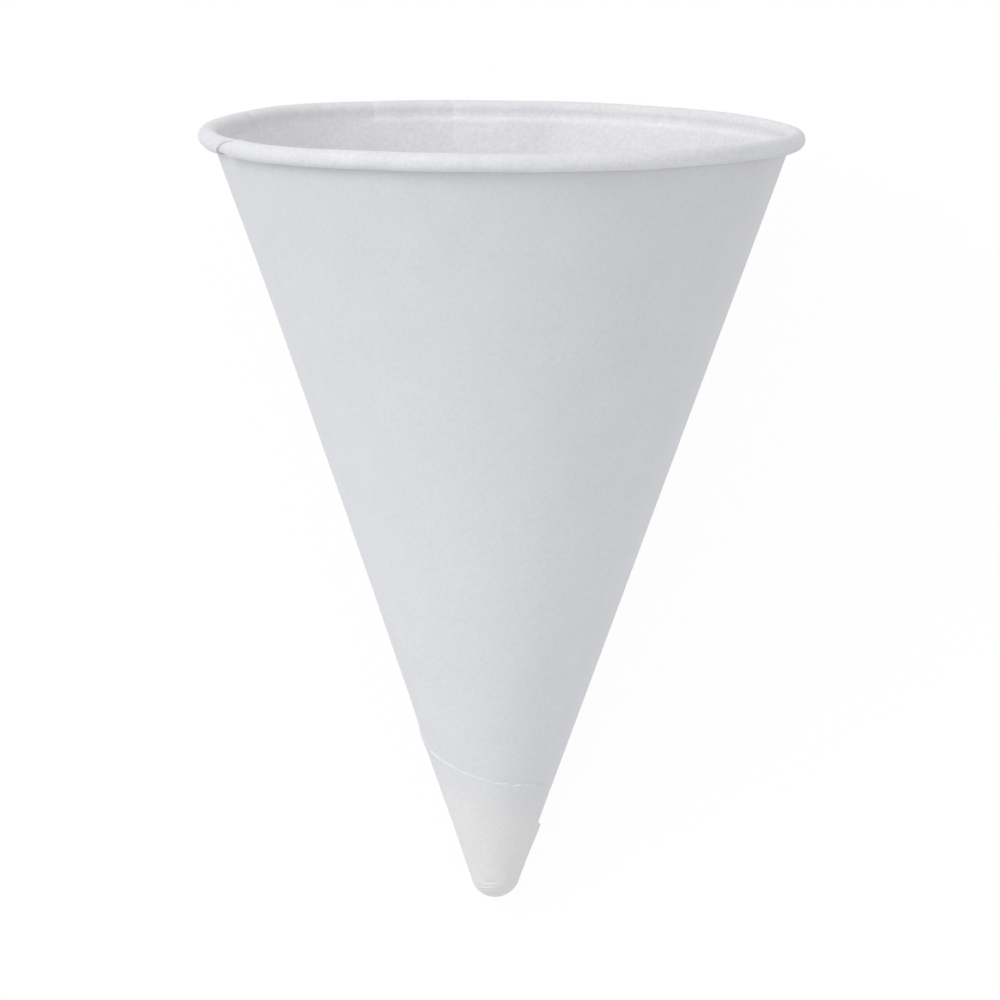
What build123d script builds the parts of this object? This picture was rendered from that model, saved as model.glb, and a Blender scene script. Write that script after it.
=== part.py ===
"""Cone paper cup: one sheet wound into a cone, its tip wrapped and its rim rolled outwards."""

import os
from math import asin, atan2, cos, degrees, hypot, radians, sin, tan

from build123d import *

os.makedirs("parts", exist_ok=True)

# Driving sizes, in millimetres
rim_diameter = 75.0
cup_length = 95.7
tip_radius = 2.6
paper = 0.25
bead_width = 2.3
bead_height = 2.3
land_depth = 2.1

# Angles in degrees: places round the cup are 0 at its left side, 90 in front, 180 at its right
full_turn = 360.0
curl_angle = 301.0
back_angle = 270.0
flat_half_angle = 10.0
seam_inner_angle = 20.0
seam_outer_angle = 9.5
seam_ramp_angle = 2.3

# Reaches run along the slope from the point of the hollow cone
seam_foot = 19.0

# The wrap round the tip is bounded by two straight cuts of the flat sheet, each given by
# its shortest reach and by the place of that reach round the cup
top_cut_reach = 20.3
top_cut_angle = 127.0
end_cut_reach = 9.1
end_cut_angle = -27.5
wrap_corner_angle = 145.0
wrap_root_angle = -40.0
wrap_ramp_angle = 10.0
cut_steps = 12
cut_margin_angle = 3.0

# Section of the paper in a plane through the axis: x outwards, y from the tip to the mouth
bead_half_width = bead_width / 2
bead_half_height = bead_height / 2
bead_centre = (rim_diameter / 2 - bead_half_width, cup_length - bead_half_height)
land_radius = rim_diameter / 2 - bead_width
crease_height = cup_length - land_depth
tip_centre = tip_radius + 2 * paper
crease_above_tip = crease_height - tip_centre
half_angle = degrees(
    atan2(land_radius, crease_above_tip)
    - asin(tip_radius / hypot(land_radius, crease_above_tip))
)
sine = sin(radians(half_angle))
cosine = cos(radians(half_angle))
point_height = tip_centre - tip_radius / sine
tangent_reach = tip_radius * cosine / sine

# Attitude at rest: on its back, with the flat of the bead and the tip on the surface
bead_above_tip = bead_centre[1] - tip_centre
flat_bead_radius = bead_centre[0] * cos(radians(flat_half_angle))
lean = degrees(
    atan2(flat_bead_radius, bead_above_tip)
    - asin((tip_centre - bead_half_width) / hypot(flat_bead_radius, bead_above_tip))
)
axis_direction = Vector(0, cos(radians(lean)), sin(radians(lean)))
front_direction = Vector(0, -sin(radians(lean)), cos(radians(lean)))
left_direction = Vector(-1, 0, 0)
tip_to_bead = axis_direction * bead_above_tip - front_direction * flat_bead_radius
footprint = tip_centre + tip_to_bead.Y + bead_half_width
tip_middle = Vector(0, tip_centre - footprint / 2, tip_centre)
tip_end = tip_middle - axis_direction * tip_centre
cup_axis = Axis(tip_end, axis_direction)


def outward(place):
    """Direction away from the axis at a place round the cup."""
    turn = radians(place)
    return left_direction * cos(turn) + front_direction * sin(turn)


def side_plane(place):
    """Plane of a section: x outwards at a place round the cup, y along the axis."""
    away = outward(place)
    return Plane(origin=tip_end, x_dir=away, z_dir=away.cross(axis_direction))


def on_slope(shift, reach):
    """Point of the section on the slope, shifted outwards through the layers."""
    return (
        reach * sine + shift * cosine,
        point_height + reach * cosine - shift * sine,
    )


def on_crease(shift):
    """Corner between the slope and the straight land under the bead."""
    return (land_radius + shift, crease_height - shift * tan(radians(half_angle / 2)))


def curl(shift):
    """Arc of the rolled rim, from the land over the top and down to the rolled edge."""
    return EllipticalCenterArc(
        bead_centre,
        bead_half_width - shift,
        bead_half_height - shift,
        start_angle=180,
        arc_size=-curl_angle,
    )


def draw_rim(inner, reach):
    """One layer from a place on the slope, over the crease, to the end of the curl."""
    outer = inner + paper
    curl_inner = curl(inner)
    curl_outer = curl(outer)
    Line(curl_inner @ 1, curl_outer @ 1)
    Polyline(curl_inner @ 0, on_crease(inner), on_slope(inner, reach))
    Polyline(curl_outer @ 0, on_crease(outer), on_slope(outer, reach))
    Line(on_slope(inner, reach), on_slope(outer, reach))


def draw_tip(inner, reach):
    """One layer from the closed tip up to a place on the slope."""
    outer = inner + paper
    round_inner = CenterArc((0, tip_centre), tip_radius + inner, -90, 90 - half_angle)
    round_outer = CenterArc((0, tip_centre), tip_radius + outer, -90, 90 - half_angle)
    Line(round_inner @ 0, round_outer @ 0)
    Line(round_inner @ 1, on_slope(inner, reach))
    Line(round_outer @ 1, on_slope(outer, reach))
    Line(on_slope(inner, reach), on_slope(outer, reach))


def draw_slope(inner, outer, low, high):
    """Strip of the slope between two reaches."""
    corners = (
        on_slope(inner, low),
        on_slope(inner, high),
        on_slope(outer, high),
        on_slope(outer, low),
    )
    Polyline(*corners, close=True)


def section(place, draw, *sizes):
    """Face drawn in the plane at a place round the cup."""
    with BuildSketch(side_plane(place)) as face:
        with BuildLine():
            draw(*sizes)
        make_face()
    return face.sketch


def cut_at(place, shortest, middle):
    """Reach of a straight cut of the flat sheet at a place round the cup."""
    return shortest / cos(radians(sine * (place - middle)))


def cut_face(shortest, middle, first, last):
    """Face through the wrap along a straight cut, a little wider and longer than the wrap."""
    start = first - cut_margin_angle
    step = (last - first + 2 * cut_margin_angle) / cut_steps
    rails = []
    for shift in (0.5 * paper, 2.5 * paper):
        points = []
        for index in range(cut_steps + 1):
            place = start + index * step
            across, along = on_slope(shift, cut_at(place, shortest, middle))
            points.append(tip_end + outward(place) * across + axis_direction * along)
        rails.append(Edge.make_spline(points))
    return Face.make_surface_from_curves(*rails)


def turned(face, first, last):
    """Piece swept by a section from one place round the cup to another."""
    return revolve(face, axis=cup_axis, revolution_arc=last - first, mode=Mode.PRIVATE)


def joined(*faces):
    """Piece with straight sides between two sections."""
    return loft(faces, ruled=True, mode=Mode.PRIVATE)


# Wrap, first part: from its root behind the left side to the corner at the right front
top_cut = (top_cut_reach, top_cut_angle)
root_reach = cut_at(wrap_root_angle, *top_cut)
with BuildPart() as front_wrap:
    strip = section(wrap_root_angle, draw_slope, paper, 2 * paper, tangent_reach, root_reach + paper)
    revolve(strip, axis=cup_axis, revolution_arc=wrap_corner_angle - wrap_root_angle)
    split(bisect_by=cut_face(*top_cut, wrap_root_angle, wrap_corner_angle), keep=Keep.TOP)

# Wrap, second part: from the corner round the back to below the root
end_cut = (end_cut_reach, end_cut_angle + full_turn)
end_wrap_top = cut_at(wrap_corner_angle, *end_cut) + paper
with BuildPart() as end_wrap:
    strip = section(wrap_corner_angle, draw_slope, paper, 2 * paper, tangent_reach, end_wrap_top)
    revolve(strip, axis=cup_axis, revolution_arc=full_turn + wrap_root_angle - wrap_corner_angle)
    split(bisect_by=cut_face(*end_cut, wrap_corner_angle, wrap_root_angle + full_turn), keep=Keep.TOP)

# Places where the pieces meet
flat_start = back_angle - flat_half_angle
flat_end = back_angle + flat_half_angle
seam_end = seam_inner_angle + seam_ramp_angle
ramp_start = wrap_root_angle - wrap_ramp_angle
ramp_foot = end_cut_reach - paper
ramp_top = cut_at(ramp_start, *top_cut)
with BuildPart() as cup:
    # Single wall and rolled rim, from past the seam round to the flat, and on to the seam
    wall = section(seam_end, draw_rim, 0, seam_foot)
    pieces = [turned(wall, seam_end, flat_start)]
    wall = section(flat_end, draw_rim, 0, seam_foot)
    pieces.append(turned(wall, flat_end, full_turn + seam_inner_angle))

    # Small flat down the back, where the cup lies
    pieces.append(joined(section(flat_start, draw_rim, 0, seam_foot), wall))

    # Seam: the sheet climbs over its first edge and ends a little further round
    overlap = section(seam_outer_angle, draw_rim, paper, seam_foot)
    pieces.append(turned(overlap, seam_outer_angle, seam_inner_angle))
    climb_start = section(seam_inner_angle, draw_rim, paper, seam_foot)
    climb_end = section(seam_end, draw_rim, 0, seam_foot)
    pieces.append(joined(climb_start, climb_end))

    # Closed round tip, the wrap outside it, and the ramp at the root of the wrap
    pieces.append(turned(section(0, draw_tip, 0, seam_foot), 0, full_turn))
    cap_reach = tangent_reach + paper
    pieces.append(turned(section(0, draw_tip, paper, cap_reach), 0, full_turn))
    ramp_low = section(ramp_start, draw_slope, paper / 2, paper, ramp_foot, ramp_top)
    ramp_high = section(wrap_root_angle, draw_slope, paper / 2, 2 * paper, ramp_foot, root_reach)
    pieces.append(joined(ramp_low, ramp_high))
    add([*pieces, front_wrap.part, end_wrap.part])

cup.part.label = "cup"
export_step(cup.part, "parts/cup.step")
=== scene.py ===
"""Cone paper cup: one sheet wound into a cone, with a rolled rim and a wrapped tip."""

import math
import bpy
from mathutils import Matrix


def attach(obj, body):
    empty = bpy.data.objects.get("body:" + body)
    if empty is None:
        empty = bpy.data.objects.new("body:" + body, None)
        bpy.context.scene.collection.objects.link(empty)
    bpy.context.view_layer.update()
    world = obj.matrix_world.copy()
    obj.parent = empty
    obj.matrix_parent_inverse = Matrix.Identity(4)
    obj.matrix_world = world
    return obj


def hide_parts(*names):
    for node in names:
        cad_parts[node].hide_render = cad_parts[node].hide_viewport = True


bl_info = {
    "name": "Cone Paper Cup",
    "version": (1, 0, 0),
    "blender": (4, 5, 0),
    "location": "View3D > Sidebar > Paper Cup",
    "description": "Winds a cone cup from one sheet of paper and lays it on a white table",
    "category": "Add Mesh",
}

from types import SimpleNamespace

import bmesh
import bpy
import numpy as np
from mathutils import Matrix, Vector

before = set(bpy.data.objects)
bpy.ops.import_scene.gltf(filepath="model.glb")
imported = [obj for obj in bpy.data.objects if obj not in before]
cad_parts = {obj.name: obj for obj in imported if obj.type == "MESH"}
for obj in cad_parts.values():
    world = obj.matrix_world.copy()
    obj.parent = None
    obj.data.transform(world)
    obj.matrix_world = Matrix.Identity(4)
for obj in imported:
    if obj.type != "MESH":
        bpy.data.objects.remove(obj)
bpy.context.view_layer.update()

MM = 0.001

# Rows of faces down the slope of the wall and of the wrap, and round the tip of each
WALL_ROWS = 43
WALL_TIP_ROWS = 10
WRAP_ROWS = 27
WRAP_TIP_ROWS = 44

# Dents pressed across the rolled rim: place in degrees, depth in mm
CRIMPS = ((280, 0.06), (296.8, 0.09), (309, 0.07), (331.5, 0.16), (216, 0.05), (232, 0.04))

# Wrinkles of the tip: place and height of each end in degrees and mm, and depth in mm
WRINKLES = (
    (29, 2.07, 105, 2.46, 0.1),
    (70, 2.28, 150, 2.75, 0.16),
    (28, 1.8, 78, 1.92, 0.065),
    (33, 1.5, 96, 1.46, 0.085),
    (38, 1.22, 108, 1.08, 0.075),
    (45, 0.95, 118, 0.8, 0.06),
    (150, 1.9, 215, 1.6, 0.025),
    (225, 1.3, 300, 1.7, 0.025),
)

# Rise of the rim, in hundredths of a mm, at places in degrees: the stiff seam draws the
# rim down in front of the left side
RIM_PLACES = [0, 20, 40, 50, 60, 80, 100, 120, 135, 150, 165, 180]
RIM_PLACES += [200, 220, 240, 260, 275, 295, 312, 322, 330, 340, 360]
RIM_RISES = [-30, -46, -48, -38, -19, -3, 1, 10, 20, 14, 0, -12]
RIM_RISES += [-25, -15, -14, -6, -4, 0, 16, 15, 0, -14, -30]

# Hollow of the left side, in mm, at heights in mm: it flares a little, like a trumpet
FLARE_HEIGHTS = [0, 3, 12, 20, 22.5, 25, 31, 37, 43, 49, 56, 62, 68, 74, 80, 87, 91, 94]
FLARE_HOLLOWS = [0, 0.12, 0.19, 0.2, 0.28, 0.33, 0.35, 0.42, 0.43, 0.46, 0.43, 0.43, 0.41]
FLARE_HOLLOWS += [0.36, 0.25, 0.06, -0.02, 0]

# How far the wrap's two cuts stray from straight lines, in mm, at places in degrees. The
# front one wanders, and the end one is worn back beside the corner between them
WANDER_PLACES = [-50, -35, -20, -10, 0, 10, 20, 32, 47, 60, 72, 87, 103, 112, 130, 145]
WANDER = [0, -1, -1.8, -1.1, 0.1, -0.15, -0.42, -0.15, 0.3, 0.32, 0.42, 0.28, 0.38, 0.36, 0.35, 0.1]
WORN_PLACES = [144.5, 149, 157, 163, 169, 175, 180, 184, 192, 202, 220]
WORN = [0, -0.6, -1.8, -1.75, -1, -0.2, 0.2, 0.2, 0.05, -0.1, 0]

# The seam on the rolled rim: how far it leans to the right, in degrees, at turns of the roll
SLANT_TURNS = [-120, -40, 100, 180]
SLANTS = [-2, -0.6, 5.4, 0]

# The sheet beside the seam on the rolled rim: its depth into the roll, in papers, at places
# in degrees, and how far the groove closes, in degrees, at turns of the roll
FLANK_PLACES = [18, 20, 23.5, 24.5, 25, 25.5, 26.5, 28]
FLANK_DEPTHS = [1, 1.1, 1.1, 0.8, 0.1, -0.35, -0.2, 0]
CLOSING_TURNS = [-40, 20, 70, 110, 180]
CLOSING = [0, 0.6, 2.4, 3.6, 3.6]


class CupSizes(bpy.types.PropertyGroup):
    """Real sizes of the cup.

    Places round it are 0 degrees at its left side, 90 in front and 180 at its right.
    """

    rim_diameter: bpy.props.FloatProperty(
        name="Rim diameter",
        description="Width over the rolled rim",
        default=75 * MM,
        unit="LENGTH",
    )
    cup_length: bpy.props.FloatProperty(
        name="Length",
        description="From the tip to the top of the rim",
        default=95.7 * MM,
        unit="LENGTH",
    )
    tip_radius: bpy.props.FloatProperty(
        name="Tip radius",
        description="Radius inside the round tip",
        default=2.6 * MM,
        unit="LENGTH",
    )
    paper: bpy.props.FloatProperty(
        name="Paper",
        description="Thickness of the sheet",
        default=0.25 * MM,
        unit="LENGTH",
    )
    bead_diameter: bpy.props.FloatProperty(
        name="Bead",
        description="Thickness of the rolled rim",
        default=2.3 * MM,
        unit="LENGTH",
    )
    land_depth: bpy.props.FloatProperty(
        name="Land depth",
        description="From the top of the rim down to the crease",
        default=2.1 * MM,
        unit="LENGTH",
    )
    curl_angle: bpy.props.FloatProperty(
        name="Curl",
        description="How far the rim is rolled",
        default=math.radians(300),
        unit="ROTATION",
    )
    back_place: bpy.props.FloatProperty(
        name="Back",
        description="Middle of the side that the cup lies on",
        default=math.radians(270),
        unit="ROTATION",
    )
    flat_half_angle: bpy.props.FloatProperty(
        name="Flat",
        description="Half of the flattened stretch at the back",
        default=math.radians(10),
        unit="ROTATION",
    )
    seam_inner_place: bpy.props.FloatProperty(
        name="Inner edge",
        description="Place of the edge that lies inside",
        default=math.radians(20),
        unit="ROTATION",
    )
    seam_outer_place: bpy.props.FloatProperty(
        name="Outer edge",
        description="Place of the edge that lies outside",
        default=math.radians(9.5),
        unit="ROTATION",
    )
    seam_foot: bpy.props.FloatProperty(
        name="Seam foot",
        description="Lower end of the overlap, from the point of the cone",
        default=19 * MM,
        unit="LENGTH",
    )
    crease_width: bpy.props.FloatProperty(
        name="Crease width",
        description="Width of the whitened fold under the rim, to each side",
        default=0.25 * MM,
        unit="LENGTH",
    )
    seam_drift: bpy.props.FloatProperty(
        name="Seam drift",
        description="How far the seam wanders to the left on its way to the tip",
        default=math.radians(5.5),
        unit="ROTATION",
    )
    top_cut_reach: bpy.props.FloatProperty(
        name="Top cut",
        description="Shortest reach of the cut that bounds the wrap in front",
        default=20.3 * MM,
        unit="LENGTH",
    )
    top_cut_place: bpy.props.FloatProperty(
        name="Top cut place",
        description="Where the top cut comes nearest to the tip",
        default=math.radians(127),
        unit="ROTATION",
    )
    end_cut_reach: bpy.props.FloatProperty(
        name="End cut",
        description="Shortest reach of the cut that bounds the wrap behind",
        default=9.1 * MM,
        unit="LENGTH",
    )
    end_cut_place: bpy.props.FloatProperty(
        name="End cut place",
        description="Where the end cut comes nearest to the tip",
        default=math.radians(332.5),
        unit="ROTATION",
    )
    wrap_corner: bpy.props.FloatProperty(
        name="Wrap corner",
        description="Corner where the two cuts meet",
        default=math.radians(144.5),
        unit="ROTATION",
    )
    wrap_root: bpy.props.FloatProperty(
        name="Wrap root",
        description="Where the wrap has come clear of the wall",
        default=math.radians(-40),
        unit="ROTATION",
    )
    wrap_ramp: bpy.props.FloatProperty(
        name="Wrap ramp",
        description="Stretch in which the wrap leaves the wall",
        default=math.radians(10),
        unit="ROTATION",
    )


class PaperLook(bpy.types.PropertyGroup):
    """Colours and grain of the paper, and the table and light of the stage."""

    sheet_colour: bpy.props.StringProperty(
        name="Paper",
        description="Colour of the bleached paper",
        default="#e1e2e6",
    )
    # Painted shade: the outside is painted darker towards the mouth with this colour, for the shade
    # under the rolled rim
    painted_mouth_shade_colour: bpy.props.StringProperty(
        name="Paper at the mouth",
        description="Its colour where most light goes through it into the hollow",
        default="#dadbdf",
    )
    felt_colour: bpy.props.StringProperty(
        name="Inside",
        description="Colour of the inner face, which also covers the rolled rim",
        default="#e6e6e9",
    )
    # Painted highlight: the crease under the rim is painted with this colour
    painted_crease_highlight_colour: bpy.props.StringProperty(
        name="Fold",
        description="Colour of the crease under the rim",
        default="#fcfcfd",
    )
    # Painted light: the wrap is painted lighter towards the point with this colour
    painted_tip_light_colour: bpy.props.StringProperty(
        name="Tip",
        description="Colour of the wrap round the tip",
        default="#e7e7e8",
    )
    core_colour: bpy.props.StringProperty(
        name="Cut edge",
        description="Colour of the fibres at a cut edge",
        default="#e4e4e6",
    )
    table_colour: bpy.props.StringProperty(
        name="Table",
        description="Colour of the table top",
        default="#e8e8e8",
    )
    grain: bpy.props.FloatProperty(
        name="Grain",
        description="Width of the tufts of fibre in the sheet",
        default=0.5 * MM,
        unit="LENGTH",
    )
    cloud: bpy.props.FloatProperty(
        name="Cloud",
        description="Width of the thick and thin patches of the sheet",
        default=5 * MM,
        unit="LENGTH",
    )
    key_power: bpy.props.FloatProperty(
        name="Key light",
        description="Power of the large lamp at the upper left",
        default=3.78,
        unit="POWER",
    )
    fill_level: bpy.props.FloatProperty(
        name="Fill",
        description="Level of the even light all round",
        default=0.777,
    )


def cup_form(sizes):
    """Derived sizes of the cup as it stands upright, with the end of its tip at the origin."""
    form = SimpleNamespace()
    form.bead_radius = sizes.bead_diameter / 2
    form.bead_reach = sizes.rim_diameter / 2 - form.bead_radius
    form.bead_height = sizes.cup_length - form.bead_radius
    form.land_radius = sizes.rim_diameter / 2 - sizes.bead_diameter
    form.crease_height = sizes.cup_length - sizes.land_depth
    form.tip_centre = sizes.tip_radius + 2 * sizes.paper
    rise = form.crease_height - form.tip_centre
    form.half_angle = math.atan2(form.land_radius, rise) - math.asin(
        sizes.tip_radius / math.hypot(form.land_radius, rise)
    )
    form.sine = math.sin(form.half_angle)
    form.cosine = math.cos(form.half_angle)
    form.point_height = form.tip_centre - sizes.tip_radius / form.sine
    form.tangent_reach = sizes.tip_radius * form.cosine / form.sine
    form.crease_reach = (form.crease_height - form.point_height) / form.cosine
    bead_above_tip = form.bead_height - form.tip_centre
    flat_bead = form.bead_reach * math.cos(sizes.flat_half_angle)
    form.lean = math.atan2(flat_bead, bead_above_tip) - math.asin(
        (form.tip_centre - form.bead_radius) / math.hypot(flat_bead, bead_above_tip)
    )
    run = bead_above_tip * math.cos(form.lean) + flat_bead * math.sin(form.lean)
    footprint = form.tip_centre + run + form.bead_radius
    form.axis = Vector((0, math.cos(form.lean), math.sin(form.lean)))
    tip_middle = Vector((0, form.tip_centre - footprint / 2, form.tip_centre))
    form.lay_down = Matrix.Translation(tip_middle - form.axis * form.tip_centre) @ Matrix.Rotation(
        form.lean - math.pi / 2, 4, "X"
    )
    return form


def select_only(piece):
    """Makes one piece the only one selected, and the active one."""
    bpy.ops.object.select_all(action="DESELECT")
    piece.select_set(True)
    bpy.context.view_layer.objects.active = piece


def open_edit(piece):
    """Opens one piece alone in edit mode."""
    select_only(piece)
    bpy.ops.object.mode_set(mode="EDIT")
    bpy.ops.mesh.select_mode(type="VERT")


def pick(piece, test):
    """Selects the vertices of the open piece that pass a test of their place."""
    mesh = bmesh.from_edit_mesh(piece.data)
    for vertex in mesh.verts:
        vertex.select_set(test(vertex.co))
    mesh.select_flush(True)
    bmesh.update_edit_mesh(piece.data)


def near(x, z, reach=0.02 * MM):
    """Test for a vertex at one place of the section."""
    return lambda point: math.hypot(point.x - x, point.z - z) < reach


def add_section(sizes, form, top, slope_rows, tip_rows):
    """Section of the paper's inner face at the cup's left side, down to the end of the tip.

    It starts at a reach on the slope, or at the end of the curl if that reach is beyond the crease.
    """
    bead_facets = 36
    bpy.ops.object.select_all(action="DESELECT")
    bpy.ops.mesh.primitive_circle_add(
        vertices=bead_facets,
        radius=form.bead_radius,
        location=(-form.bead_reach, 0, form.bead_height),
        rotation=(math.pi / 2, 0, 0),
    )
    piece = bpy.context.object
    bpy.ops.object.transform_apply(location=True, rotation=True, scale=True)
    open_edit(piece)
    gap = 2 * math.pi - sizes.curl_angle
    facet = 2 * math.pi / bead_facets

    def in_gap(point):
        turn = math.atan2(form.bead_height - point.z, point.x + form.bead_reach)
        return facet / 2 < turn < gap - facet / 2

    pick(piece, in_gap)
    bpy.ops.mesh.delete(type="VERT")
    pick(piece, near(-form.land_radius, form.bead_height))
    land = form.crease_height - form.bead_height
    for drop in (land + sizes.crease_width, -sizes.crease_width):
        bpy.ops.mesh.extrude_region_move(TRANSFORM_OT_translate={"value": (0, 0, drop)})
    foot_x = -form.tangent_reach * form.sine
    foot_z = form.point_height + form.tangent_reach * form.cosine
    fall = Vector((foot_x + form.land_radius, 0, foot_z - form.crease_height))
    crease_step = sizes.crease_width / fall.length
    for share in (crease_step, 2 * crease_step, 1 - 3 * crease_step):
        bpy.ops.mesh.extrude_region_move(TRANSFORM_OT_translate={"value": fall * share})
    bpy.ops.mesh.spin(
        steps=tip_rows,
        angle=math.pi / 2 - form.half_angle,
        center=(0, 0, form.tip_centre),
        axis=(0, 1, 0),
    )
    if top < form.crease_reach:
        limit = Vector((0, 0, form.point_height + top * form.cosine))
        bpy.ops.mesh.select_all(action="SELECT")
        bpy.ops.mesh.bisect(plane_co=limit, plane_no=(0, 0, 1), clear_outer=True)
        slope_top = near(-top * form.sine, limit.z)
    else:
        below = fall * 3 * crease_step
        slope_top = near(-form.land_radius + below.x, form.crease_height + below.z)
    foot = near(foot_x, foot_z)
    pick(piece, lambda point: slope_top(point) or foot(point))
    bpy.ops.mesh.subdivide(number_cuts=slope_rows - 1)
    bpy.ops.object.mode_set(mode="OBJECT")
    return piece


def wind(piece, first, last, steps):
    """Turns a section from one place round the cup to another."""
    piece.data.transform(Matrix.Rotation(first, 4, "Z"))
    open_edit(piece)
    bpy.ops.mesh.select_all(action="SELECT")
    bpy.ops.mesh.spin(steps=steps, angle=last - first, center=(0, 0, 0), axis=(0, 0, -1))
    merge_doubles()


def merge_doubles():
    """Merges the points that lie on each other in the open piece, and closes it."""
    bpy.ops.mesh.select_all(action="SELECT")
    bpy.ops.mesh.remove_doubles(threshold=0.0005 * MM)
    bpy.ops.object.mode_set(mode="OBJECT")


def join(pieces):
    """Joins pieces into the last of them."""
    bpy.ops.object.select_all(action="DESELECT")
    for piece in pieces:
        piece.select_set(True)
    bpy.context.view_layer.objects.active = pieces[-1]
    bpy.ops.object.join()


def read_points(piece):
    """Points of a mesh as an array."""
    points = np.empty(len(piece.data.vertices) * 3)
    piece.data.vertices.foreach_get("co", points)
    return points.reshape(-1, 3)


def read_normals(piece):
    """Normals of a mesh's points as an array."""
    normals = np.empty(len(piece.data.vertices) * 3)
    piece.data.vertices.foreach_get("normal", normals)
    return normals.reshape(-1, 3)


def write_points(piece, points):
    """Moves the points of a mesh."""
    piece.data.vertices.foreach_set("co", points.ravel())
    piece.data.update()


def places_of(points, first):
    """Places round the cup, counted on from the first one."""
    place = np.arctan2(-points[:, 1], -points[:, 0])
    return first + np.mod(place - first + 1e-6, 2 * math.pi) - 1e-6


def radii_of(points):
    """Distances from the axis."""
    return np.hypot(points[:, 0], points[:, 1])


def reaches_of(points, form):
    """Distances along the slope from the point of the hollow cone."""
    return radii_of(points) * form.sine + (points[:, 2] - form.point_height) * form.cosine


def turn_to(points, place):
    """Turns points round the axis to new places."""
    radius = radii_of(points)
    points[:, 0] = -radius * np.cos(place)
    points[:, 1] = -radius * np.sin(place)


def widen(points, amount):
    """Moves points away from the axis."""
    radius = np.maximum(radii_of(points), 1e-9)
    points[:, :2] *= (1 + amount / radius)[:, None]


def smooth_step(low, high, value):
    """0 below the low value, 1 above the high one, with a soft change between."""
    part = np.clip((value - low) / (high - low), 0, 1)
    return part * part * (3 - 2 * part)


def bump_at(middle, width, value):
    """Soft hump, 1 in the middle."""
    return np.exp(-(((value - middle) / width) ** 2))


def waves(value, *terms):
    """Sum of waves, each with its height, its count in a unit of the value, and its phase."""
    total = 0
    for height, count, phase in terms:
        total = total + height * np.sin(2 * math.pi * (count * value + phase))
    return total


def rounded_table(degrees, places, amounts):
    """Amounts between the places of a table, with the corners at the places rounded."""
    shifts = (-4, -2, 0, 2, 4)
    return sum(np.interp(degrees + shift, places, amounts) for shift in shifts) / len(shifts)


def cut_at(place, form, shortest, middle):
    """Reach of a straight cut of the flat sheet at a place round the cup."""
    return shortest / np.cos(form.sine * (place - middle))


def face_outwards(piece, form):
    """Turns the faces so that those of the slope look away from the axis."""
    open_edit(piece)
    bpy.ops.mesh.select_all(action="SELECT")
    bpy.ops.mesh.normals_make_consistent(inside=False)
    bpy.ops.object.mode_set(mode="OBJECT")
    points = read_points(piece)
    normals = read_normals(piece)
    slope = (points[:, 2] > form.tip_centre) & (points[:, 2] < form.crease_height)
    outward = np.sum(points[slope, :2] * normals[slope, :2])
    if outward < 0:
        piece.data.flip_normals()


def bead_mask(points, form):
    """1 on the rolled rim, 0 elsewhere, and the turn round the roll: 0 outside, 90 on top."""
    across = radii_of(points) - form.bead_reach
    above = points[:, 2] - form.bead_height
    on_bead = np.hypot(across, above) < 1.3 * form.bead_radius
    return on_bead.astype(float), np.degrees(np.arctan2(above, across))


def seam_slant(roll):
    """How far the seam leans to the right on the rolled rim, from its underside to its top."""
    return np.radians(np.interp(roll, SLANT_TURNS, SLANTS))


def rim_rise(degrees):
    """How far the rim stands above or below its own plane."""
    return np.interp(np.mod(degrees, 360), RIM_PLACES, RIM_RISES) * 0.01 * MM


def flare(points):
    """Hollows the left side a little between rim and tip."""
    to_left = -points[:, 0] / np.maximum(radii_of(points), 1e-9)
    at_left = np.clip(to_left, 0, 1) ** 1.5
    heights = np.array(FLARE_HEIGHTS) * MM
    widen(points, -at_left * np.interp(points[:, 2], heights, FLARE_HOLLOWS) * MM)


def flatten_back(points, sizes, form):
    """Flattens the side that the cup lies on, fading out towards the tip."""
    reach = reaches_of(points, form)
    place = places_of(points, 0)
    turn = np.clip(place - sizes.back_place, -sizes.flat_half_angle, sizes.flat_half_angle)
    chord = math.cos(sizes.flat_half_angle) / np.cos(turn)
    fade = smooth_step(sizes.seam_foot, sizes.seam_foot * 1.5, reach)
    points[:, :2] *= (1 + (chord - 1) * fade)[:, None]


def add_wall(sizes, form, first):
    """The wound wall: from past the seam all the way round to the edge that lies inside."""
    last = 2 * math.pi + sizes.seam_inner_place
    steps = 270
    wall = add_section(sizes, form, math.inf, WALL_ROWS, WALL_TIP_ROWS)
    wind(wall, first, last, steps)
    face_outwards(wall, form)
    points = read_points(wall)
    place = places_of(points, first)
    crimp_half_width = math.radians(0.4)
    slant_start = last - math.radians(10)
    step = (last - first) / steps
    bead, roll = bead_mask(points, form)
    normals = read_normals(wall)
    for crimp, depth in CRIMPS:
        crimp_place = math.radians(crimp)
        column = np.round((place - first) / step) - round((crimp_place - first) / step)
        wanted = crimp_place + column * crimp_half_width
        place = np.where(np.abs(column) <= 1, wanted, place)
        points += normals * ((column == 0) * bead * depth * MM)[:, None]
    place += bead * seam_slant(roll) * smooth_step(slant_start, last, place)
    turn_to(points, place)
    write_points(wall, points)
    return wall


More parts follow.
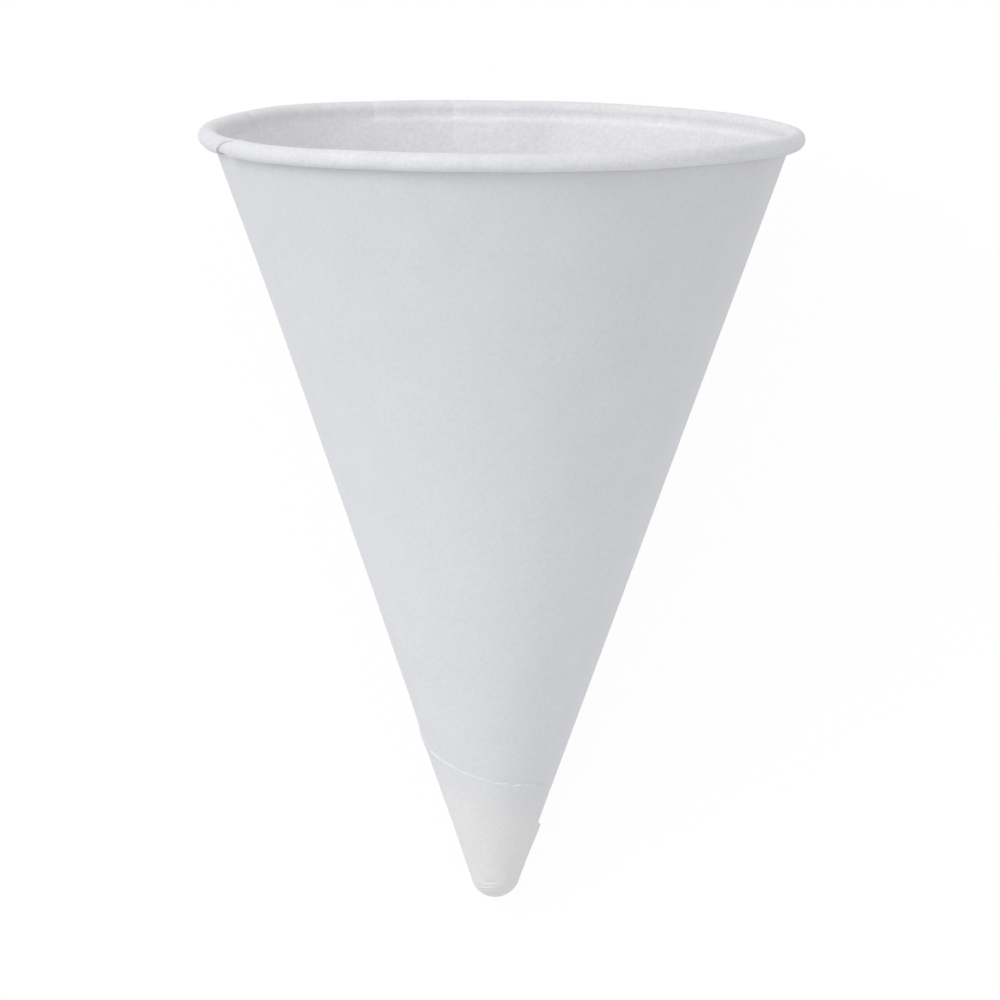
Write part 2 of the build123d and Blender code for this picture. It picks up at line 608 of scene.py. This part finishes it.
def add_lap(sizes, form, last):
    """The start of the sheet: it climbs over the inner edge and ends outside it.

    On the rolled rim, which shows the sheet's inner face, it comes up from under that edge.
    """
    before_edge = [9.5, 10, 11, 12.5, 14, 16, 18]
    at_edge = list(np.arange(19.5, 28.1, 0.5))
    after_edge = [28.7, 29.5, 30.7, 32.3, math.degrees(last)]
    columns = np.radians(before_edge + at_edge + after_edge)
    steps = len(columns) - 1
    lap = add_section(sizes, form, math.inf, WALL_ROWS, WALL_TIP_ROWS)
    wind(lap, sizes.seam_outer_place, last, steps)
    face_outwards(lap, form)
    points = read_points(lap)
    normals = read_normals(lap)
    even = np.linspace(sizes.seam_outer_place, last, len(columns))
    place = np.interp(places_of(points, 0), even, columns)
    reach = reaches_of(points, form)
    above_foot = reach > sizes.seam_foot
    inner = sizes.seam_inner_place
    slant_start, slant_end = inner - math.radians(10), math.radians(26)
    groove_middle, groove_end = math.radians(24.5), math.radians(27)
    climb_end = math.radians(26.5)
    on_wall = 1 - smooth_step(inner, climb_end, place)
    bead, roll = bead_mask(points, form)
    on_roll = np.interp(place, np.radians(FLANK_PLACES), FLANK_DEPTHS)
    climb = np.where(bead > 0, on_roll, on_wall * above_foot)
    points += normals * (climb * sizes.paper)[:, None]
    beside_edge = smooth_step(slant_start, inner, place)
    beside_edge *= 1 - smooth_step(slant_end, last, place)
    in_groove = smooth_step(inner, groove_middle, place)
    in_groove *= 1 - smooth_step(groove_end, last, place)
    closing = np.radians(np.interp(roll, CLOSING_TURNS, CLOSING))
    place = np.where(above_foot, place, np.maximum(place, inner))
    turn_to(points, place + bead * (beside_edge * seam_slant(roll) - in_groove * closing))
    write_points(lap, points)
    return lap


def settle_wall(wall, sizes, form):
    """Lets the seam wander, makes the rim a little uneven, and hollows and flattens the wall."""
    points = read_points(wall)
    reach = reaches_of(points, form)
    place = places_of(points, -math.pi / 2)
    seam_place, seam_spread = math.radians(16), math.radians(25)
    drift_end, drift_start = 55 * MM, 98 * MM
    beside_seam = bump_at(seam_place, seam_spread, place)
    drift = sizes.seam_drift * (1 - smooth_step(drift_end, drift_start, reach)) * beside_seam
    turn_to(points, place - drift)
    bead, roll = bead_mask(points, form)
    around = places_of(points, 0) / (2 * math.pi)
    back, back_spread, sink = 0.75, 0.06, 0.05
    away_from_back = 1 - bump_at(back, back_spread, around)
    uneven = waves(around, (0.02, 5, 0.1), (0.015, 11, 0.6), (0.01, 23, 0.35), (0.008, 37, 0.8))
    lower = waves(around, (0.03, 7, 0.4), (0.02, 17, 0.2), (0.012, 31, 0.7))
    side = np.clip(-np.sin(np.radians(roll)), 0, 1)
    widen(points, bead * away_from_back * (uneven - sink) * MM)
    points[:, 2] += bead * side * away_from_back * lower * MM
    crease = bump_at(form.crease_height, 0.4 * sizes.crease_width, points[:, 2])
    rough = waves(around, (0.02, 41, 0.3), (0.02, 67, 0.9), (0.015, 103, 0.5))
    points[:, :2] *= (1 + crease * (rough - sink) * MM / form.land_radius)[:, None]
    rise_start = 55 * MM
    rise = rim_rise(np.degrees(place)) * smooth_step(rise_start, form.crease_reach, reach)
    points[:, 2] += rise
    flare(points)
    flatten_back(points, sizes, form)
    write_points(wall, points)


def wrap_cut(place, sizes, form):
    """Reach of the wrap's edge at each place: the front cut, and past the corner the end cut."""
    degrees = np.degrees(place)
    nick_place, nick_width, nick_depth = 107.5, 1.6, 0.17 * MM
    front = cut_at(place, form, sizes.top_cut_reach, sizes.top_cut_place)
    front += rounded_table(degrees, WANDER_PLACES, WANDER) * MM
    front += waves(degrees / 360, (0.04, 21, 0.55), (0.025, 47, 0.1)) * MM
    front -= nick_depth * bump_at(nick_place, nick_width, degrees)
    behind = cut_at(place, form, sizes.end_cut_reach, sizes.end_cut_place)
    behind += rounded_table(degrees, WORN_PLACES, WORN) * MM
    return np.where(place < sizes.wrap_corner, front, behind)


def wrap_layer(place, reach, cut, sizes):
    """How far the wrap lies outside the tip's inner face, in papers."""
    degrees = np.degrees(place)
    root_depth, seam_height, edge_depth, edge_lift = 1.15, 0.25, 0.1, 0.6
    blend = 3 * MM
    edge_width = 0.9 * MM

    # Behind, it comes out of the wall; in front it rides over the side seam
    at_root = smooth_step(sizes.end_cut_reach, sizes.end_cut_reach + blend, reach)
    rise = smooth_step(sizes.wrap_root - sizes.wrap_ramp, sizes.wrap_root, place)
    layer = 1 - root_depth * at_root * (1 - rise)
    over_seam = smooth_step(0, 4.5, degrees) * (1 - smooth_step(15, 22, degrees))
    over_seam *= smooth_step(sizes.seam_foot - blend, sizes.seam_foot, reach)
    layer += seam_height * over_seam

    # Its edge is pressed down, but stands off the wall at the right and the left side
    from_cut = cut - reach
    lift = -edge_depth * rise * (1 - smooth_step(0, edge_width, from_cut))
    for middle, spread, depth in ((177, 10, 5 * MM), (3, 9, 3 * MM)):
        beside = bump_at(middle, spread, degrees)
        lift += edge_lift * beside * (1 - smooth_step(0, depth, from_cut))
    return layer + lift


def press_wrinkles(points, normals, degrees):
    """Presses the fine wrinkles into the tip, each a ridge above a fold."""
    ridge_width, fold_width, fold_below = 0.09 * MM, 0.1 * MM, 0.17 * MM
    for first, first_height, last, last_height, depth in WRINKLES:
        along = np.interp(degrees, (first, last), (first_height, last_height)) * MM
        begin = smooth_step(first - 4, first + 8, degrees)
        end = smooth_step(last - 12, last + 6, degrees)
        ridge = bump_at(along, ridge_width, points[:, 2])
        fold = bump_at(along - fold_below, fold_width, points[:, 2])
        wrinkle = (ridge - 0.8 * fold) * begin * (1 - end)
        points += normals * (wrinkle * depth * MM)[:, None]


def add_wrap(sizes, form):
    """The outermost layer round the tip, bounded by two straight cuts of the sheet."""
    full_height = 30 * MM
    top = form.tangent_reach + full_height
    wrap = add_section(sizes, form, top, WRAP_ROWS, WRAP_TIP_ROWS)
    start = sizes.wrap_root - sizes.wrap_ramp
    wind(wrap, start, start + 2 * math.pi, steps=288)
    face_outwards(wrap, form)
    points = read_points(wrap)
    normals = read_normals(wrap)
    place = places_of(points, start)
    reach = reaches_of(points, form)
    cut = wrap_cut(place, sizes, form)
    part = np.clip((reach - form.tangent_reach) / full_height, 0, 1)
    wanted = form.tangent_reach + part * (cut - form.tangent_reach)
    slide = np.where(part > 0, wanted - reach, 0)
    widen(points, slide * form.sine)
    points[:, 2] += slide * form.cosine
    layer = wrap_layer(place, reaches_of(points, form), cut, sizes)
    points += normals * (layer * sizes.paper)[:, None]
    press_wrinkles(points, normals, np.degrees(place))
    flare(points)
    write_points(wrap, points)
    return wrap


def slant_cut(piece, form, rows):
    """Pulls the outer corner of the wrap's cuts towards the tip, so that the cuts slope."""
    slant = 0.3
    outer = set()
    cut = set()
    for polygon in piece.data.polygons:
        if polygon.material_index == 0:
            outer.update(polygon.vertices)
        if polygon.material_index == 2:
            cut.update(polygon.vertices)
    corner = sorted(outer & cut)
    points = read_points(piece)
    ends = points[corner]
    row = (reaches_of(ends, form) - form.tangent_reach) / rows
    widen(ends, -slant * row * form.sine)
    ends[:, 2] -= slant * row * form.cosine
    points[corner] = ends
    write_points(piece, points)


def mark_painted_light(piece, sizes, form):
    """Writes the painted light and shade of the felt side at each point.

    0 is as the waxed side, 0.5 plain, and 1 a painted highlight along the crease, strongest
    at the back. The rolled rim is painted darker, as painted shade, most beside the seam and at the
    right side.
    """
    points = read_points(piece)
    degrees = np.degrees(places_of(points, 0))
    bead, roll = bead_mask(points, form)
    inside = radii_of(points) < form.land_radius + sizes.paper
    # Painted highlight along the crease under the rim, strongest at the back
    crease = bump_at(form.crease_height, 1.3 * sizes.crease_width, points[:, 2]) * inside
    back_places, back_shares = [170, 200, 295, 300, 330, 345], [0, 1, 1, 0.5, 0.4, 0]
    crease *= np.interp(degrees, back_places, back_shares)
    # Painted shade on the rolled rim, most beside the seam and at the right side
    rolled = bead * (1 - smooth_step(60, 150, np.abs(roll + 20)))
    right_place, right_spread, right_shade_gain = 165, 35, 0.66
    rolled *= 1 + right_shade_gain * bump_at(right_place, right_spread, degrees)
    first, last = -28, 20.2
    from_first = np.mod(degrees - np.degrees(seam_slant(roll)) - first, 360)
    beside_seam = from_first < last - first
    painted_rim_shade = np.where(beside_seam, 0.5, 0.3) * rolled
    painted_light_level = 0.5 + 0.5 * crease - painted_rim_shade
    layer = piece.data.attributes.new("painted_light_level", "FLOAT", "POINT")
    layer.data.foreach_set("value", painted_light_level)


def thicken(piece, sizes, *finishes):
    """Gives a sheet its thickness outwards, and its outside, inside and cut edge their finishes."""
    for material in finishes:
        piece.data.materials.append(material)
    thick = piece.modifiers.new("Paper", "SOLIDIFY")
    thick.thickness = sizes.paper
    thick.offset = 1
    thick.use_even_offset = False
    thick.use_rim = True
    thick.material_offset = 1
    thick.material_offset_rim = 2
    select_only(piece)
    bpy.ops.object.modifier_apply(modifier=thick.name)


def linear(hex_colour):
    """An sRGB hex colour as linear red, green, blue and alpha."""
    levels = []
    for start in (1, 3, 5):
        part = int(hex_colour[start : start + 2], 16) / 255
        levels.append(part / 12.92 if part <= 0.04045 else ((part + 0.055) / 1.055) ** 2.4)
    return (*levels, 1)


def add_node(tree, kind, settings=None, links=None):
    """Adds a node, sets its properties and sockets, and links other nodes' outputs to it."""
    node = tree.nodes.new(kind)
    for name, value in (settings or {}).items():
        if isinstance(name, int) or name in node.inputs:
            node.inputs[name].default_value = value
        else:
            setattr(node, name, value)
    for name, output in (links or {}).items():
        tree.links.new(output, node.inputs[name])
    return node


def new_material(name):
    """An empty node material and its tree."""
    material = bpy.data.materials.new(name)
    material.use_nodes = True
    material.node_tree.nodes.clear()
    return material, material.node_tree


def reach_along(tree, direction, start, end):
    """Share of the way between two distances along a direction, from the object's origin."""
    place = add_node(tree, "ShaderNodeTexCoord").outputs["Object"]
    distance = add_node(
        tree, "ShaderNodeVectorMath", {"operation": "DOT_PRODUCT", 1: direction}, {0: place}
    ).outputs["Value"]
    return add_node(
        tree, "ShaderNodeMapRange", {"From Min": start, "From Max": end}, {"Value": distance}
    ).outputs["Result"]


def paper_tint(tree, share, *hex_colours):
    """The paper's colour, which goes through a row of tints as the share goes from 0 to 1."""
    ramp = add_node(tree, "ShaderNodeValToRGB", links={"Fac": share})
    stops = ramp.color_ramp.elements
    for index in range(len(hex_colours) - 2):
        stops.new((index + 1) / (len(hex_colours) - 1))
    for stop, hex_colour in zip(stops, hex_colours):
        stop.color = linear(hex_colour)
    return ramp.outputs["Color"]


def paper_finish(material, tree, colour, look, mottle, relief, roughness):
    """Matt paper: a fine fibre grain and soft thick and thin clouds, in colour and in relief."""
    place = add_node(tree, "ShaderNodeTexCoord").outputs["Object"]
    grain = add_node(
        tree,
        "ShaderNodeTexNoise",
        {"Scale": 1 / look.grain, "Detail": 3.0, "Roughness": 0.65},
        {"Vector": place},
    ).outputs["Fac"]
    cloud = add_node(
        tree,
        "ShaderNodeTexNoise",
        {"Scale": 1 / look.cloud, "Detail": 3.0, "Roughness": 0.5},
        {"Vector": place},
    ).outputs["Fac"]
    blend = add_node(
        tree, "ShaderNodeMath", {"operation": "MULTIPLY_ADD", 1: 0.35}, {0: cloud, 2: grain}
    ).outputs[0]
    shade = add_node(
        tree,
        "ShaderNodeMapRange",
        {"From Min": 0.3, "From Max": 1.05, "To Min": 1 - mottle, "To Max": 1 + mottle},
        {"Value": blend},
    ).outputs["Result"]
    mix = add_node(
        tree, "ShaderNodeMix", {"data_type": "RGBA", "blend_type": "MULTIPLY", 0: 1.0}, {7: shade}
    )
    if isinstance(colour, str):
        mix.inputs[6].default_value = linear(colour)
    else:
        tree.links.new(colour, mix.inputs[6])
    bump = add_node(
        tree, "ShaderNodeBump", {"Strength": 0.3, "Distance": relief}, {"Height": grain}
    ).outputs["Normal"]
    shader = add_node(
        tree,
        "ShaderNodeBsdfPrincipled",
        {"Roughness": roughness, "IOR": 1.45, "Sheen Weight": 0.03, "Sheen Roughness": 0.35},
        {"Base Color": mix.outputs[2], "Normal": bump},
    )
    add_node(tree, "ShaderNodeOutputMaterial", links={"Surface": shader.outputs["BSDF"]})
    return material


def paper_finishes(look, form):
    """The sheet's two faces, the face at the tip, and the cut edge."""
    # Bleached machine-made paper, lightly waxed outside: matt with the least sheen, almost
    # without grain. Towards the mouth it is painted darker: painted shade under the rolled rim
    outside, tree = new_material("waxed_paper_outside")
    share = reach_along(tree, form.axis, start=-5 * MM, end=46 * MM)
    colour = paper_tint(tree, share, look.sheet_colour, look.painted_mouth_shade_colour)
    paper_finish(outside, tree, colour, look, mottle=0.065, relief=0.02 * MM, roughness=0.45)
    # The felt side of the same sheet: whiter, with a sandier grain. On the rolled rim it carries
    # painted shade, and along the fold under the rim a painted highlight
    inside, tree = new_material("paper_felt_side")
    painted_light_level = add_node(tree, "ShaderNodeAttribute", {"attribute_name": "painted_light_level"})
    painted_light_level = painted_light_level.outputs["Fac"]
    colour = paper_tint(tree, painted_light_level, look.sheet_colour, look.felt_colour, look.painted_crease_highlight_colour)
    paper_finish(inside, tree, colour, look, mottle=0.12, relief=0.04 * MM, roughness=0.55)
    # Towards the point the wrap is painted lighter: painted light
    tip, tree = new_material("paper_tip_wrap")
    aslant = form.axis + Vector((0.35, 0, 0))
    share = reach_along(tree, aslant, start=-32.3 * MM, end=-36.5 * MM)
    colour = paper_tint(tree, share, look.sheet_colour, look.painted_tip_light_colour)
    paper_finish(tip, tree, colour, look, mottle=0.06, relief=0.02 * MM, roughness=0.5)
    # Open fibres at a cut: dull, and without the painted light of the tip
    edge, tree = new_material("cut_paper_edge")
    colour = look.core_colour
    paper_finish(edge, tree, colour, look, mottle=0.03, relief=0.03 * MM, roughness=0.8)
    return outside, inside, tip, edge


def add_table(look):
    """White table top that the camera sees as plain white, with the cup's shadow on it."""
    white_share = 0.93
    white_level = 1.02
    bpy.ops.object.select_all(action="DESELECT")
    bpy.ops.mesh.primitive_plane_add(size=6, location=(0, 0, 0))
    table = bpy.context.object
    table.name = "table"
    material, tree = new_material("white_table")
    path = add_node(tree, "ShaderNodeLightPath").outputs
    seen = path["Is Camera Ray"]
    for kind in ("Is Glossy Ray", "Is Transmission Ray"):
        seen = add_node(
            tree,
            "ShaderNodeMath",
            {"operation": "ADD", "use_clamp": True},
            {0: seen, 1: path[kind]},
        ).outputs[0]
    share = add_node(
        tree, "ShaderNodeMath", {"operation": "MULTIPLY", 1: white_share}, {0: seen}
    ).outputs[0]
    matt = add_node(tree, "ShaderNodeBsdfDiffuse", {"Color": linear(look.table_colour)})
    white = add_node(
        tree, "ShaderNodeEmission", {"Color": (1, 1, 1, 1), "Strength": white_level}
    )
    mix = add_node(
        tree,
        "ShaderNodeMixShader",
        links={0: share, 1: matt.outputs[0], 2: white.outputs[0]},
    )
    add_node(tree, "ShaderNodeOutputMaterial", links={"Surface": mix.outputs[0]})
    table.data.materials.append(material)


def add_light(context, look):
    """Even light from a white room, and a large soft lamp at the upper left."""
    world = bpy.data.worlds.new("soft_room")
    context.scene.world = world
    world.use_nodes = True
    tree = world.node_tree
    tree.nodes.clear()
    room = add_node(
        tree, "ShaderNodeBackground", {"Color": (1, 1, 1, 1), "Strength": look.fill_level}
    )
    add_node(tree, "ShaderNodeOutputWorld", links={"Surface": room.outputs[0]})

    cup_middle = Vector((0, 0, 35 * MM))
    key_direction = Vector((-0.60, 0.30, 0.74))
    key_distance = 1.13
    key_width = 0.5
    bpy.ops.object.light_add(type="AREA", location=cup_middle + key_direction * key_distance)
    key = context.object
    key.name = "key_light"
    key.data.shape = "DISK"
    key.data.size = key_width
    key.data.energy = look.key_power
    key.rotation_euler = (-key_direction).to_track_quat("-Z", "Y").to_euler()


def add_camera(context, form):
    """Long lens that looks along the cup's front, a little from above the rim."""
    above_rim = math.radians(6.14)
    roll = math.radians(0.53)
    pixel = MM / 8.097
    image_width = 1000 * pixel
    distance = 3.0
    lens = 300
    aim_height = 49.3 * MM
    right, up = 1.5 * pixel, 0.5 * pixel
    aim = form.lay_down @ Vector((0, 0, aim_height))
    tilt = form.lean - above_rim
    towards = Vector((0, -math.sin(tilt), math.cos(tilt)))
    camera_data = bpy.data.cameras.new("camera")
    camera = bpy.data.objects.new("camera", camera_data)
    context.collection.objects.link(camera)
    camera_data.lens = lens
    camera_data.sensor_width = image_width / distance * lens
    turn = (-towards).to_track_quat("-Z", "Y").to_matrix().to_4x4()
    turn = turn @ Matrix.Rotation(roll, 4, "Z")
    away = Matrix.Translation((right, up, distance))
    camera.matrix_world = Matrix.Translation(aim) @ turn @ away
    context.scene.camera = camera


class CUP_OT_cone(bpy.types.Operator):
    """Wind the cup from its sheet, with the rolled rim, the seam and the wrapped tip"""

    bl_idname = "mesh.cone_paper_cup"
    bl_label = "Cone cup"
    bl_options = {"REGISTER", "UNDO"}

    def execute(self, context):
        sizes = context.scene.cup_sizes
        form = cup_form(sizes)
        outside, inside, tip, edge = paper_finishes(context.scene.paper_look, form)
        past_seam = math.radians(34)
        lap = add_lap(sizes, form, past_seam)
        wall = add_wall(sizes, form, past_seam)
        join((lap, wall))
        open_edit(wall)
        merge_doubles()
        mark_painted_light(wall, sizes, form)
        settle_wall(wall, sizes, form)
        thicken(wall, sizes, outside, inside, edge)
        cup = add_wrap(sizes, form)
        thicken(cup, sizes, tip, inside, edge)
        slant_cut(cup, form, WRAP_ROWS)
        join((wall, cup))
        cup.name = "cone_cup"
        cup.data.transform(form.lay_down)
        bpy.ops.object.shade_smooth_by_angle(angle=math.radians(35))
        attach(cup, "root")
        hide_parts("cup")
        return {"FINISHED"}


class CUP_OT_stage(bpy.types.Operator):
    """Set the white table, the soft light and the camera"""

    bl_idname = "scene.cone_cup_stage"
    bl_label = "Stage"
    bl_options = {"REGISTER", "UNDO"}

    def execute(self, context):
        look = context.scene.paper_look
        form = cup_form(context.scene.cup_sizes)
        add_table(look)
        add_light(context, look)
        add_camera(context, form)
        context.scene.view_settings.view_transform = "Standard"
        return {"FINISHED"}


class CUP_PT_panel(bpy.types.Panel):
    """Sizes, colours and the steps in order"""

    bl_idname = "CUP_PT_panel"
    bl_label = "Cone paper cup"
    bl_space_type = "VIEW_3D"
    bl_region_type = "UI"
    bl_category = "Paper Cup"

    def draw(self, context):
        layout = self.layout
        for group in (context.scene.cup_sizes, context.scene.paper_look):
            column = layout.column(align=True)
            for name in group.bl_rna.properties.keys():
                if name not in ("rna_type", "name"):
                    column.prop(group, name)
        layout.operator(CUP_OT_cone.bl_idname)
        layout.operator(CUP_OT_stage.bl_idname)


CLASSES = (CupSizes, PaperLook, CUP_OT_cone, CUP_OT_stage, CUP_PT_panel)


def register():
    for cls in CLASSES:
        bpy.utils.register_class(cls)
    bpy.types.Scene.cup_sizes = bpy.props.PointerProperty(type=CupSizes)
    bpy.types.Scene.paper_look = bpy.props.PointerProperty(type=PaperLook)


def unregister():
    del bpy.types.Scene.paper_look
    del bpy.types.Scene.cup_sizes
    for cls in reversed(CLASSES):
        bpy.utils.unregister_class(cls)


def main():
    register()
    bpy.ops.mesh.cone_paper_cup()
    bpy.ops.scene.cone_cup_stage()


if __name__ == "__main__":
    main()
